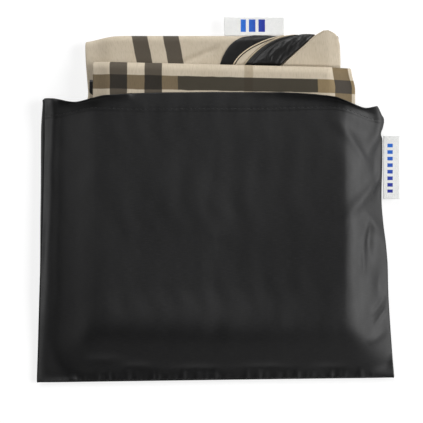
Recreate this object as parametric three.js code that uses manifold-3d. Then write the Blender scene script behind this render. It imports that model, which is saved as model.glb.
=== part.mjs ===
// A flat sewn pouch, lying on its back, with a folded reversible rain wrap part-way out of its mouth.
// Millimetres, +X to the right across the pouch, +Y out of the mouth, +Z up from the table.
// The origin is on the table, under the middle of the pouch.
import * as THREE from "three";
import { mergeVertices } from "three/addons/utils/BufferGeometryUtils.js";
import Module from "manifold-3d";

const wasm = await Module();
wasm.setup();

const lerp = THREE.MathUtils.lerp;

// Driving dimensions of the pouch
const POUCH_BOTTOM_WIDTH = 250;
const POUCH_MOUTH_WIDTH = 237; // the wrap's thickness draws the sides in
const RIGHT_DRAWN_IN = { depth: 2.4, middleY: 45, reach: 75 }; // more beside the side tag
const SEAM_Y = -98; // the closed bottom edge
const MOUTH_Y = 97; // the open top edge
const HEM_DEPTH = 13;
const PANEL_PLY = 1.0; // cloth with its fullness
const HEM_PLY = 1.6; // the same cloth turned over
const SEAM_PLY = 0.9; // seam allowance between the two panels
const SEAM_WIDTH = 8;
const GAP = 0.3; // between pieces that touch
const THREAD_RADIUS = 0.35;

// Driving dimensions of the folded wrap
const WRAP_LEFT = -85;
const WRAP_RIGHT = 97;
const WRAP_END_Y = -67; // its lower end, inside the pouch
const REAR_TOP_Y = 142.7;
const FRONT_TOP_Y = 121.5;
const REAR_LEFT = -91;
const REAR_RIGHT = 86;
const REAR_LOW_Z = 2.0;
const REAR_HIGH_Z = 11.0;
const FRONT_LOW_Z = 11.4;
const FRONT_HIGH_Z = 21.8;
const PUSH_IN = 8; // how much further in the wrap can go
const REAR_PLY = 1.9;
const FRONT_PLY = 2.1;
const LINING_LENGTH = 176;

// Driving dimensions of the turned edges and the corner flap beside the neck label
const TURN_LOW_Y = FRONT_TOP_Y + 0.6;
const TURN_HIGH_Y = REAR_TOP_Y - 2.2;
const TURN_START = { foot: 3.4, tip: 26 }; // left side of the first strip, at its two ends
const STRIP_PLY = 1.0;
const PIPING_PLY = 1.2;
const FLAP_PLY = 1.6;
const DIAGONAL = { foot: 45.6, tip: 68.5 }; // where the wide band meets the corner flap
const FLAP_PEAK = { x: 76, y: REAR_TOP_Y + 3.5 };
const SWEEP = 0.28; // how far along to the tip a curve's control point lies
const SWEEP_Y = lerp(TURN_LOW_Y, TURN_HIGH_Y, 0.75);

// Driving dimensions of the two labels
const LABEL_PLY = 0.6;
const LABEL_SLOT = 0.3;
const LABEL_THICKNESS = 2 * LABEL_PLY + LABEL_SLOT;
const SIDE_TAG = { low: 28.5, high: 73, reach: 11, tail: 5 };
const NECK_LABEL = { left: 6, right: 48, reach: 12.3, z: 6.5 };

const SHEET_ON_REAR_Z = REAR_HIGH_Z + GAP;
const CROWN_Z = FRONT_HIGH_Z + 0.8 + PANEL_PLY / 2; // middle of the front panel's cloth over the wrap
const BOTTOM_SEAM_Z = PANEL_PLY + GAP + SEAM_PLY / 2;
const SIDE_SEAM_LIFT = 1.5;
const SEAM_OFFSET = (SEAM_PLY + PANEL_PLY) / 2 + GAP; // from the seam's middle to a panel's middle
const FLAT_Z = PANEL_PLY / 2;
const BACK_TURN_UP = 22; // how far in from the side seam the back panel starts to rise
// Both hems keep the panel's lower face and stand up from its upper one
const HEM_LIFT = (HEM_PLY - PANEL_PLY) / 2;
const FACET_RISE = 0.4; // how far the front cloth's flat facets may stand above its curve
const SEAM_THREAD_IN = 1.2; // from the closed edge to its row of stitches
const HEM_THREAD_IN = 1.5; // from the hem's turned edge to its row of stitches

const smooth = THREE.MathUtils.smoothstep;
const clamp01 = (t) => THREE.MathUtils.clamp(t, 0, 1);
const fall = (t) => 0.5 + 0.5 * Math.cos(Math.PI * clamp01(t)); // 1 at 0 and 0 at 1
const evenAndEdges = (u) => 0.5 * u + 0.5 * (1 - fall(u)); // closer together towards both ends

const group = new THREE.Group();

function cloth(color, roughness) {
  return new THREE.MeshStandardMaterial({ color, roughness, metalness: 0 });
}
const blackCloth = cloth(0x1d1d1e, 0.5);
const blackThread = cloth(0x101010, 0.7);
const plaidCloth = cloth(0xb3a790, 0.6);
const pipingCloth = cloth(0xc9bda2, 0.55);
const blackLining = cloth(0x0f0f10, 0.4);
const whiteRibbon = cloth(0xf0f0ec, 0.7);

function addPiece(name, geometry, material) {
  const piece = new THREE.Mesh(geometry, material);
  piece.name = name;
  group.add(piece);
  return piece;
}

// A box of nx by ny cells, with each vertex put where place says for its shares u, v and w of the box.
function bentBox(nx, ny, place) {
  const geometry = new THREE.BoxGeometry(1, 1, 1, nx, ny, 1);
  const points = geometry.getAttribute("position");
  for (let i = 0; i < points.count; i++) {
    const [x, y, z] = place(points.getX(i) + 0.5, points.getY(i) + 0.5, points.getZ(i) + 0.5);
    points.setXYZ(i, x, y, z);
  }
  return geometry;
}

// The pouch's outline and the heights of its cloth
function sideX(side, y) {
  const share = clamp01((MOUTH_Y - y) / (MOUTH_Y - SEAM_Y));
  const halfWidth = lerp(POUCH_MOUTH_WIDTH, POUCH_BOTTOM_WIDTH, share ** 1.6) / 2;
  const { depth, middleY, reach } = RIGHT_DRAWN_IN;
  const drawnIn = side > 0 ? depth * fall(Math.abs(y - middleY) / reach) : 0;
  return side * (halfWidth - drawnIn);
}

// The x at a share of the way from the left side to the right one
function acrossAt(y, share, margin = 0) {
  return lerp(sideX(-1, y) + margin, sideX(1, y) - margin, share);
}

function seamHeight(y) {
  return BOTTOM_SEAM_Z + SIDE_SEAM_LIFT * smooth(y, SEAM_Y, -30);
}

function frontHeight(x, y) {
  const left = (WRAP_LEFT - 0.5 - x) / (WRAP_LEFT - 0.5 - sideX(-1, y));
  const right = (x - WRAP_RIGHT - 0.5) / (sideX(1, y) - WRAP_RIGHT - 0.5);
  const endY = WRAP_END_Y - PUSH_IN - 1;
  const bottom = (endY - y) / (endY - SEAM_Y);
  const edge = seamHeight(y) + SEAM_OFFSET;
  return lerp(edge, CROWN_Z, fall(Math.max(left, right)) * fall(bottom));
}

function backHeight(x, y) {
  const edge = seamHeight(y) - SEAM_OFFSET;
  const inwards = Math.min(x - sideX(-1, y), sideX(1, y) - x) / BACK_TURN_UP;
  return lerp(FLAT_Z, edge, fall(inwards));
}

// A stretch of panel from lowY to highY whose middle is at heightOf(x, y)
function panel(nx, ny, lowY, highY, ply, heightOf) {
  return bentBox(nx, ny, (u, v, w) => {
    const y = lerp(lowY, highY, evenAndEdges(v));
    const x = acrossAt(y, evenAndEdges(u));
    return [x, y, heightOf(x, y) + (w - 0.5) * ply];
  });
}

function makePanels() {
  const hemY = MOUTH_Y - HEM_DEPTH;
  addPiece("pouch_front_panel", panel(28, 20, SEAM_Y, hemY - GAP, PANEL_PLY, frontHeight), blackCloth);
  addPiece("pouch_back_panel", panel(18, 14, SEAM_Y, hemY - GAP, PANEL_PLY, backHeight), blackCloth);
  const frontHem = panel(28, 2, hemY, MOUTH_Y, HEM_PLY, (x, y) => frontHeight(x, y) + HEM_LIFT);
  addPiece("front_mouth_hem", frontHem, blackCloth);
  const backHem = panel(18, 1, hemY, MOUTH_Y, HEM_PLY, (x, y) => backHeight(x, y) + HEM_LIFT);
  addPiece("back_mouth_hem", backHem, blackCloth);
}

// Seam allowances, each turned in between the two panels
function solidOf(geometry) {
  const bare = geometry.clone();
  bare.deleteAttribute("normal");
  bare.deleteAttribute("uv");
  const merged = mergeVertices(bare, 1e-4);
  return new wasm.Manifold(
    new wasm.Mesh({
      numProp: 3,
      vertProperties: merged.getAttribute("position").array,
      triVerts: new Uint32Array(merged.index.array),
    }),
  );
}

function geometryOf(solid) {
  const mesh = solid.getMesh();
  return new THREE.BufferGeometry()
    .setAttribute("position", new THREE.BufferAttribute(mesh.vertProperties, 3))
    .setIndex(new THREE.BufferAttribute(mesh.triVerts, 1));
}

function sideSeam(side) {
  const lowY = SEAM_Y + SEAM_WIDTH + GAP;
  const highY = MOUTH_Y - HEM_DEPTH - GAP;
  return bentBox(1, 10, (u, v, w) => {
    const y = lerp(lowY, highY, v);
    const outer = sideX(side, y);
    const x = lerp(outer - side * SEAM_WIDTH, outer, side > 0 ? u : 1 - u);
    return [x, y, seamHeight(y) + (w - 0.5) * SEAM_PLY];
  });
}

function tailBox(grow) {
  return bentBox(1, 6, (u, v, w) => {
    const y = lerp(SIDE_TAG.low - grow, SIDE_TAG.high + grow, v);
    const x = lerp(sideX(1, y) - SIDE_TAG.tail - grow, sideX(1, y) + grow, u);
    return [x, y, seamHeight(y) + (w - 0.5) * (SEAM_PLY + 2 * grow)];
  });
}

function makeSeams() {
  addPiece("left_side_seam", sideSeam(-1), blackCloth);
  const notched = solidOf(sideSeam(1)).subtract(solidOf(tailBox(GAP)));
  addPiece("right_side_seam", geometryOf(notched), blackCloth);
  addPiece("side_tag_tail", tailBox(0), whiteRibbon);
  const bottom = bentBox(16, 1, (u, v, w) => {
    const y = lerp(SEAM_Y, SEAM_Y + SEAM_WIDTH, v);
    const x = acrossAt(y, u);
    return [x, y, seamHeight(y) + (w - 0.5) * SEAM_PLY];
  });
  addPiece("bottom_seam", bottom, blackCloth);
}

// A thread laid along a row at y, on cloth whose upper face is ply above the front panel's middle
function threadRow(y, margin, ply, steps) {
  const lift = ply + FACET_RISE + GAP + THREAD_RADIUS;
  const points = [];
  for (let i = 0; i <= steps; i++) {
    const x = acrossAt(y, evenAndEdges(i / steps), margin);
    points.push(new THREE.Vector3(x, y, frontHeight(x, y) + lift));
  }
  const section = new THREE.Shape().absarc(0, 0, THREAD_RADIUS, 0, 2 * Math.PI);
  const path = new THREE.CatmullRomCurve3(points);
  return new THREE.ExtrudeGeometry(section, { extrudePath: path, steps: 2 * steps, curveSegments: 3 });
}

function makeThreads() {
  const hemRow = MOUTH_Y - HEM_DEPTH + HEM_THREAD_IN;
  addPiece("front_hem_thread", threadRow(hemRow, HEM_THREAD_IN, HEM_LIFT + HEM_PLY / 2, 22), blackThread);
  addPiece("bottom_seam_thread", threadRow(SEAM_Y + SEAM_THREAD_IN, 2, PANEL_PLY / 2, 8), blackThread);
}

// Turns a geometry drawn in y and z and extruded in z so that it runs along x.
function alongX(geometry, startX) {
  const turn = new THREE.Matrix4().makeBasis(
    new THREE.Vector3(0, 1, 0),
    new THREE.Vector3(0, 0, 1),
    new THREE.Vector3(1, 0, 0),
  );
  return geometry.applyMatrix4(turn.setPosition(startX, 0, 0));
}

// A layer folded over at topY: two plies from lowZ to highZ, joined by a round turn
function foldedLayer(left, right, topY, lowZ, highZ, ply) {
  const radius = (highZ - lowZ) / 2;
  const turnY = topY - radius;
  const middle = lowZ + radius;
  const outline = new THREE.Shape();
  outline.moveTo(WRAP_END_Y, lowZ);
  outline.lineTo(turnY, lowZ);
  outline.absarc(turnY, middle, radius, -Math.PI / 2, Math.PI / 2, false);
  outline.lineTo(WRAP_END_Y, highZ);
  outline.lineTo(WRAP_END_Y, highZ - ply);
  outline.lineTo(turnY, highZ - ply);
  outline.absarc(turnY, middle, radius - ply, Math.PI / 2, -Math.PI / 2, true);
  outline.lineTo(WRAP_END_Y, lowZ + ply);
  outline.closePath();
  const options = { depth: right - left, bevelEnabled: false, curveSegments: 8 };
  return alongX(new THREE.ExtrudeGeometry(outline, options), left);
}

// The rear bundle is turned over behind the front one, and each holds a smaller fold inside it
function makeFolds() {
  const inRear = REAR_PLY + GAP;
  const inFront = FRONT_PLY + GAP;
  const rearOuter = foldedLayer(REAR_LEFT, REAR_RIGHT, REAR_TOP_Y, REAR_LOW_Z, REAR_HIGH_Z, REAR_PLY);
  addPiece("back_panel_fold", rearOuter, plaidCloth);
  const rearInner = foldedLayer(
    REAR_LEFT + 1,
    REAR_RIGHT - 2,
    REAR_TOP_Y - inRear,
    REAR_LOW_Z + inRear,
    REAR_HIGH_Z - inRear,
    REAR_PLY,
  );
  addPiece("side_panel_fold", rearInner, plaidCloth);
  const frontOuter = foldedLayer(WRAP_LEFT, WRAP_RIGHT, FRONT_TOP_Y, FRONT_LOW_Z, FRONT_HIGH_Z, FRONT_PLY);
  addPiece("front_panel_fold", frontOuter, plaidCloth);
  const frontInner = foldedLayer(
    WRAP_LEFT + 1,
    WRAP_RIGHT - 1,
    FRONT_TOP_Y - inFront,
    FRONT_LOW_Z + inFront,
    FRONT_HIGH_Z - inFront,
    FRONT_PLY,
  );
  addPiece("hood_fold", frontInner, plaidCloth);
  const liningPly = FRONT_HIGH_Z - FRONT_LOW_Z - 4 * inFront; // what both front folds leave between them
  const lining = new THREE.BoxGeometry(WRAP_RIGHT - WRAP_LEFT - 4, LINING_LENGTH, liningPly);
  const middleY = WRAP_END_Y + LINING_LENGTH / 2;
  lining.translate((WRAP_LEFT + WRAP_RIGHT) / 2, middleY, (FRONT_LOW_Z + FRONT_HIGH_Z) / 2);
  addPiece("lining_fold", lining, blackLining);
}

// A flat piece with a plan outline, lying on the rear fold above the front one
function sheetOnRear(outline, ply) {
  const options = { depth: ply, bevelEnabled: false, curveSegments: 10 };
  return new THREE.ExtrudeGeometry(outline, options).translate(0, 0, SHEET_ON_REAR_Z);
}

// The turned edges lie between curves that leave the front fold at foot and sweep over to the right, to tip
function sweepBack(outline, foot, tip) {
  outline.quadraticCurveTo(lerp(foot, tip, SWEEP), SWEEP_Y, foot, TURN_LOW_Y);
  return outline;
}

function sweptStrip(foot, tip, width, tipWidth) {
  const [farFoot, farTip] = [foot + width, tip + tipWidth];
  const outline = new THREE.Shape();
  outline.moveTo(foot, TURN_LOW_Y);
  outline.lineTo(farFoot, TURN_LOW_Y);
  outline.quadraticCurveTo(lerp(farFoot, farTip, SWEEP), SWEEP_Y, farTip, TURN_HIGH_Y);
  outline.lineTo(tip, TURN_HIGH_Y);
  return sweepBack(outline, foot, tip);
}

// The wide black band ends on the right at the corner flap's straight diagonal
function wideBand(foot, tip) {
  const outline = new THREE.Shape();
  outline.moveTo(foot, TURN_LOW_Y);
  outline.lineTo(DIAGONAL.foot, TURN_LOW_Y);
  outline.lineTo(DIAGONAL.tip, TURN_HIGH_Y);
  outline.lineTo(tip, TURN_HIGH_Y);
  return sweepBack(outline, foot, tip);
}

// A corner of cloth that stands a little above the rear fold's top, with a round peak and right shoulder
function cornerFlap() {
  const shoulder = { inset: 1, drop: 5 };
  const outline = new THREE.Shape();
  outline.moveTo(DIAGONAL.foot + 2 * GAP, TURN_LOW_Y);
  outline.lineTo(REAR_RIGHT, TURN_LOW_Y);
  outline.lineTo(REAR_RIGHT - shoulder.inset, REAR_TOP_Y - shoulder.drop);
  outline.quadraticCurveTo(REAR_RIGHT - 3 * shoulder.inset, FLAP_PEAK.y, FLAP_PEAK.x, FLAP_PEAK.y);
  const peakFoot = lerp(FLAP_PEAK.x, DIAGONAL.tip, 0.5);
  outline.quadraticCurveTo(peakFoot, FLAP_PEAK.y - GAP, DIAGONAL.tip + 2 * GAP, TURN_HIGH_Y);
  outline.closePath();
  return outline;
}

function makeTurnedEdges() {
  const strips = [
    ["lining_band_narrow", 8.2, 11, STRIP_PLY, blackLining],
    ["edge_piping_outer", 1.0, 1.4, PIPING_PLY, pipingCloth],
    ["turned_edge_strip", 7.0, 4.0, STRIP_PLY, plaidCloth],
    ["edge_piping_inner", 1.0, 1.4, PIPING_PLY, pipingCloth],
  ];
  let { foot, tip } = TURN_START;
  for (const [name, width, tipWidth, ply, material] of strips) {
    addPiece(name, sheetOnRear(sweptStrip(foot, tip, width, tipWidth), ply), material);
    foot += width + GAP;
    tip += tipWidth + GAP;
  }
  addPiece("lining_band_wide", sheetOnRear(wideBand(foot, tip), STRIP_PLY), blackLining);
  addPiece("corner_flap", sheetOnRear(cornerFlap(), FLAP_PLY), plaidCloth);
}

// A ribbon folded back on itself: round outer fold, two leaves, and inner ends rounded about the hinge line
function ribbonOutline(reach) {
  const radius = LABEL_THICKNESS / 2;
  const slot = LABEL_SLOT / 2;
  const lip = Math.asin(slot / radius);
  const outline = new THREE.Shape();
  outline.moveTo(-radius * Math.cos(lip), -slot);
  outline.absarc(0, 0, radius, Math.PI + lip, 1.5 * Math.PI, false);
  outline.lineTo(reach - radius, -radius);
  outline.absarc(reach - radius, 0, radius, -Math.PI / 2, Math.PI / 2, false);
  outline.lineTo(0, radius);
  outline.absarc(0, 0, radius, Math.PI / 2, Math.PI - lip, false);
  outline.lineTo(reach - radius, slot);
  outline.lineTo(reach - radius, -slot);
  outline.closePath();
  return outline;
}

function makeLabels() {
  const options = (depth) => ({ depth, bevelEnabled: false, curveSegments: 4 });
  const hingeOut = LABEL_THICKNESS / 2 + GAP;
  const middleY = (SIDE_TAG.low + SIDE_TAG.high) / 2;
  const tag = new THREE.ExtrudeGeometry(ribbonOutline(SIDE_TAG.reach), options(SIDE_TAG.high - SIDE_TAG.low));
  tag.rotateX(Math.PI / 2); // drawn in x and z, and running towards -Y from its high end
  tag.translate(sideX(1, SIDE_TAG.low) + hingeOut, SIDE_TAG.high, seamHeight(middleY));
  addPiece("side_tag", tag, whiteRibbon);
  const label = new THREE.ExtrudeGeometry(
    ribbonOutline(NECK_LABEL.reach),
    options(NECK_LABEL.right - NECK_LABEL.left),
  );
  alongX(label, NECK_LABEL.left);
  label.translate(0, REAR_TOP_Y + hingeOut, NECK_LABEL.z);
  addPiece("neck_label", label, whiteRibbon);
}

makePanels();
makeSeams();
makeThreads();
makeFolds();
makeTurnedEdges();
makeLabels();

export default group;
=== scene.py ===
"""A black satin pouch, lying on its back, with a folded checked rain wrap part-way out of its mouth.

Shapes are worked out in millimetres, in the frame's axes, and made in metres.
"""
import math

import bpy
import numpy as np
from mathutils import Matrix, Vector


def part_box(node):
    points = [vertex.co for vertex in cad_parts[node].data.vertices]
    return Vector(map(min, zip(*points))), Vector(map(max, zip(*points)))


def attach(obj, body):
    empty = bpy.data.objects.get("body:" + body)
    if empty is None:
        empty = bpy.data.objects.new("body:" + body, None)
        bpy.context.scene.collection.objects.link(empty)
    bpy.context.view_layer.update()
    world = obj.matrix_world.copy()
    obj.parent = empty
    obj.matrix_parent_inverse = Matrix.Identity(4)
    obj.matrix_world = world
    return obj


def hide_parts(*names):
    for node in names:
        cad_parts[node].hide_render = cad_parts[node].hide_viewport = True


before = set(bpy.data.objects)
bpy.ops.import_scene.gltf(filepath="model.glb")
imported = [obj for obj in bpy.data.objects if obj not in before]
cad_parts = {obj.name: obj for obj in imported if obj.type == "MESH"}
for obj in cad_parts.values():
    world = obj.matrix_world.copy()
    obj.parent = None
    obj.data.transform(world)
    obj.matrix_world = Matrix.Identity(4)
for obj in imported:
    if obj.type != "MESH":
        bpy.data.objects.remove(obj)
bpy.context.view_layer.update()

MM = 0.001
TURN = 2 * math.pi


def box_mm(node):
    """The lowest and highest corner of a CAD node, in millimetres."""
    low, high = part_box(node)
    return np.array(low) / MM, np.array(high) / MM


def smooth(t):
    t = np.clip(t, 0, 1)
    return t * t * (3 - 2 * t)


def points_of(*coordinates):
    return np.stack(coordinates, axis=-1)


def bump_at(x, middle, width):
    """1 at the middle, falling to 0 over a few widths."""
    return np.exp(-(((x - middle) / width) ** 2))


def ripple(x, y, pitch, angle, wander=0.8):
    """Soft uneven waves from -1 to 1 whose crests run at an angle in degrees."""
    turn = math.radians(angle)
    along = x * math.cos(turn) + y * math.sin(turn)
    across = y * math.cos(turn) - x * math.sin(turn)
    drift = np.sin(TURN * along / (3.1 * pitch) + 1.3)
    drift += 0.5 * np.sin(TURN * along / (1.7 * pitch))
    fade = 0.65 + 0.35 * np.sin(TURN * along / (4.3 * pitch) + 0.4 * across / pitch)
    return fade * np.sin(TURN * across / pitch + wander * drift)


# ------------------------------
# Places, from the frame

SEAM_Y = box_mm("pouch_front_panel")[0][1]
HEM_LOW, HEM_HIGH = box_mm("front_mouth_hem")
MOUTH_Y = HEM_HIGH[1]
HEM_DEPTH = MOUTH_Y - HEM_LOW[1]
POUCH_HALF = box_mm("pouch_front_panel")[1][0]
FRONT_LOW, FRONT_HIGH = box_mm("front_panel_fold")
LINING_LOW, LINING_HIGH = box_mm("lining_fold")
REAR_LOW, REAR_HIGH = box_mm("back_panel_fold")
LABEL_LOW, LABEL_HIGH = box_mm("neck_label")
TAG_LOW, TAG_HIGH = box_mm("side_tag")
TAIL_LOW, TAIL_HIGH = box_mm("side_tag_tail")

# ------------------------------
# Camera, floor and light

def add_object(name, data):
    made = bpy.data.objects.new(name, data)
    bpy.context.scene.collection.objects.link(made)
    return made


CAMERA_LENS = 120
SENSOR = 36
VIEW_WIDTH = 0.2944
VIEW_MIDDLE = Vector((-0.0028, 0.0198, 0.012))


def make_camera():
    data = bpy.data.cameras.new("camera")
    data.lens = CAMERA_LENS
    data.sensor_width = SENSOR
    data.clip_end = 60
    camera = add_object("camera", data)
    camera.location = VIEW_MIDDLE + Vector((0, 0, VIEW_WIDTH * CAMERA_LENS / SENSOR))
    bpy.context.scene.camera = camera


FLOOR_RADIUS = 6.0  # metres, as are the lights' places and sizes
FLOOR_SHADE = (0.32, 0.32, 0.32, 1)
FLOOR_GLOW = 0.72  # keeps the floor white under light that suits the black cloth
SWEEP_HEIGHT = 0.9
WORLD_STRENGTH = 0.06
LIGHTS = (
    ("right_softbox", (2.3, 0.2, 1.35), (1.7, 1.5), 88),
    ("back_softbox", (-0.8, 2.3, 1.6), (2.2, 1.4), 64),
    ("left_softbox", (-2.4, 0.9, 1.5), (1.5, 1.5), 8),
)


def make_floor():
    """A pale floor whose far edge turns up, as a studio's does."""
    sides = 96
    turn = np.linspace(0, TURN, sides, endpoint=False)
    ring = np.stack([np.cos(turn), np.sin(turn)], axis=1) * FLOOR_RADIUS
    low = np.column_stack([ring, np.full(sides, -0.0002)])
    high = np.column_stack([ring * 1.02, np.full(sides, SWEEP_HEIGHT)])
    wall = [(k, (k + 1) % sides, sides + (k + 1) % sides, sides + k) for k in range(sides)]
    mesh = bpy.data.meshes.new("floor")
    mesh.from_pydata(np.concatenate([low, high]).tolist(), [], [tuple(range(sides))] + wall)
    material, shader = new_material("floor_white", roughness=0.9)
    shader.inputs["Base Color"].default_value = FLOOR_SHADE
    shader.inputs["Emission Color"].default_value = (1, 1, 1, 1)
    shader.inputs["Emission Strength"].default_value = FLOOR_GLOW
    mesh.materials.append(material)
    add_object("floor", mesh)


def area_light(name, place, size, power):
    """A soft light that faces the middle of the pouch."""
    data = bpy.data.lights.new(name, "AREA")
    data.shape = "RECTANGLE"
    data.size, data.size_y = size
    data.energy = power
    light = add_object(name, data)
    light.location = place
    light.rotation_mode = "QUATERNION"
    light.rotation_quaternion = (-Vector(place)).to_track_quat("-Z", "Y")


def make_light():
    world = bpy.data.worlds.new("studio")
    world.use_nodes = True
    background = world.node_tree.nodes["Background"]
    background.inputs["Color"].default_value = (1, 1, 1, 1)
    background.inputs["Strength"].default_value = WORLD_STRENGTH
    bpy.context.scene.world = world
    for light in LIGHTS:
        area_light(*light)
    bpy.context.scene.view_settings.view_transform = "Standard"


# ------------------------------
# Materials

def new_material(name, roughness, specular=0.5, sheen=0.0):
    material = bpy.data.materials.new(name)
    material.use_nodes = True
    shader = material.node_tree.nodes["Principled BSDF"]
    shader.inputs["Roughness"].default_value = roughness
    shader.inputs["Specular IOR Level"].default_value = specular
    shader.inputs["Sheen Weight"].default_value = sheen
    shader.inputs["Sheen Roughness"].default_value = 0.4
    return material, shader


def linear(red, green, blue):
    """A colour given as 0 to 255 on screen, as Blender's linear colour."""
    shares = [c / 255 for c in (red, green, blue)]
    return tuple(s / 12.92 if s <= 0.04045 else ((s + 0.055) / 1.055) ** 2.4 for s in shares) + (1,)


class Nodes:
    """A new material's nodes. Each method but add, put and dress returns an output socket."""

    def __init__(self, name, roughness, specular=0.5, sheen=0.0):
        self.material, self.shader = new_material(name, roughness, specular, sheen)
        self.tree = self.material.node_tree

    def dress(self, colour, normal, roughness=None):
        """Joins what has been made to the shader, and gives back the material."""
        self.put(self.shader.inputs["Base Color"], colour)
        self.put(self.shader.inputs["Normal"], normal)
        if roughness is not None:
            self.put(self.shader.inputs["Roughness"], roughness)
        return self.material

    def add(self, kind, **settings):
        made = self.tree.nodes.new(kind)
        for name, value in settings.items():
            setattr(made, name, value)
        return made

    def put(self, socket, value):
        if isinstance(value, bpy.types.NodeSocket):
            self.tree.links.new(value, socket)
        else:
            socket.default_value = value

    def math(self, operation, *values):
        made = self.add("ShaderNodeMath", operation=operation)
        for socket, value in zip(made.inputs, values):
            self.put(socket, value)
        return made.outputs[0]

    def cloth(self):
        """The cloth's own flat coordinates, in millimetres."""
        made = self.add("ShaderNodeUVMap", uv_map="cloth")
        scaled = self.add("ShaderNodeVectorMath", operation="SCALE")
        self.put(scaled.inputs[0], made.outputs[0])
        scaled.inputs["Scale"].default_value = 1 / MM
        return scaled.outputs[0]

    def parts(self, vector):
        made = self.add("ShaderNodeSeparateXYZ")
        self.put(made.inputs[0], vector)
        return made.outputs[0], made.outputs[1]

    def noise(self, vector, scale, detail=2.0, stretch=(1, 1, 1)):
        placed = self.add("ShaderNodeMapping")
        self.put(placed.inputs["Vector"], vector)
        placed.inputs["Scale"].default_value = stretch
        made = self.add("ShaderNodeTexNoise")
        self.put(made.inputs["Vector"], placed.outputs[0])
        made.inputs["Scale"].default_value = scale
        made.inputs["Detail"].default_value = detail
        return made.outputs[0]

    def ramp(self, value, low, high):
        """The value, spread from 0 at low to 1 at high."""
        made = self.add("ShaderNodeMapRange", interpolation_type="SMOOTHSTEP")
        self.put(made.inputs["Value"], value)
        made.inputs["From Min"].default_value = low
        made.inputs["From Max"].default_value = high
        return made.outputs[0]

    def spread(self, value, low, high):
        """A value from 0 to 1, spread from low to high."""
        return self.math("MULTIPLY_ADD", value, high - low, low)

    def between(self, value, low, high, edge=0.3):
        """1 where the value is from low to high, with soft edges."""
        begun = self.ramp(value, low - edge, low + edge)
        ended = self.ramp(value, high - edge, high + edge)
        return self.math("SUBTRACT", begun, ended)

    def mix(self, share, a, b):
        made = self.add("ShaderNodeMix", data_type="RGBA")
        self.put(made.inputs["Factor"], share)
        self.put(made.inputs[6], a)
        self.put(made.inputs[7], b)
        return made.outputs[2]

    def wave(self, value, pitch):
        """A ripple from -1 to 1 along the value, one for each pitch."""
        return self.math("SINE", self.math("MULTIPLY", value, TURN / pitch))

    def bump(self, height, depth_mm, strength, under=None):
        made = self.add("ShaderNodeBump")
        made.inputs["Distance"].default_value = depth_mm * MM
        made.inputs["Strength"].default_value = strength
        self.put(made.inputs["Height"], height)
        if under is not None:
            self.put(made.inputs["Normal"], under)
        return made.outputs[0]

    def weave(self, place, pitch):
        """Plain weave: the warp and the weft pass over each other in turn."""
        across, along = self.parts(place)
        return self.math("MULTIPLY", self.wave(across, pitch), self.wave(along, pitch))


def pouch_satin():
    n = Nodes("pouch_satin", 0.58, specular=0.42)
    n.shader.inputs["Anisotropic"].default_value = 0.25
    place = n.cloth()
    cloud = n.ramp(n.noise(place, 0.03, 3), 0.35, 0.7)
    ground = n.mix(cloud, linear(6, 6, 7), linear(11, 11, 12))
    threads = n.noise(place, 1.4, 2, (0.16, 1.6, 1))
    colour = n.mix(n.ramp(threads, 0.4, 0.75), ground, linear(21, 21, 22))
    patches = n.noise(place, 0.12, 3, (1, 0.35, 1))
    creases = n.bump(n.noise(place, 0.11, 4, (1.0, 0.5, 1)), 0.6, 0.3)
    return n.dress(colour, n.bump(threads, 0.05, 0.5, creases), n.spread(patches, 0.52, 0.64))


def lining_satin():
    n = Nodes("lining_satin", 0.4, specular=0.4)
    place = n.cloth()
    colour = n.mix(n.noise(place, 0.25, 3), linear(7, 7, 7), linear(17, 16, 16))
    creases = n.bump(n.noise(place, 0.45, 4, (1, 0.5, 1)), 0.4, 0.3)
    normal = n.bump(n.weave(place, 0.4), 0.03, 0.4, creases)
    return n.dress(colour, normal, n.spread(n.noise(place, 0.5, 3), 0.36, 0.5))


CHECK_PERIOD = 155.6
CHECK_START = -85.0
CHECK_ZONE = 59.0  # from the check's first edge to its last
STRIPES = ((12.0, 24.0), (36.0, 48.0))  # the dark stripes, from the first edge
BAND = (102.9, 112.5)  # the brown band that crosses them near the fold
BAND_APART = 24.0
FAINT_STRIPE = (104.8, 110.8)
PAINTED_LIGHT_RIGHT = (60.0, 66.0)  # from here across, painted light: the stripes and bands are painted lighter where the right lamp falls on the fold's right end


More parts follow.
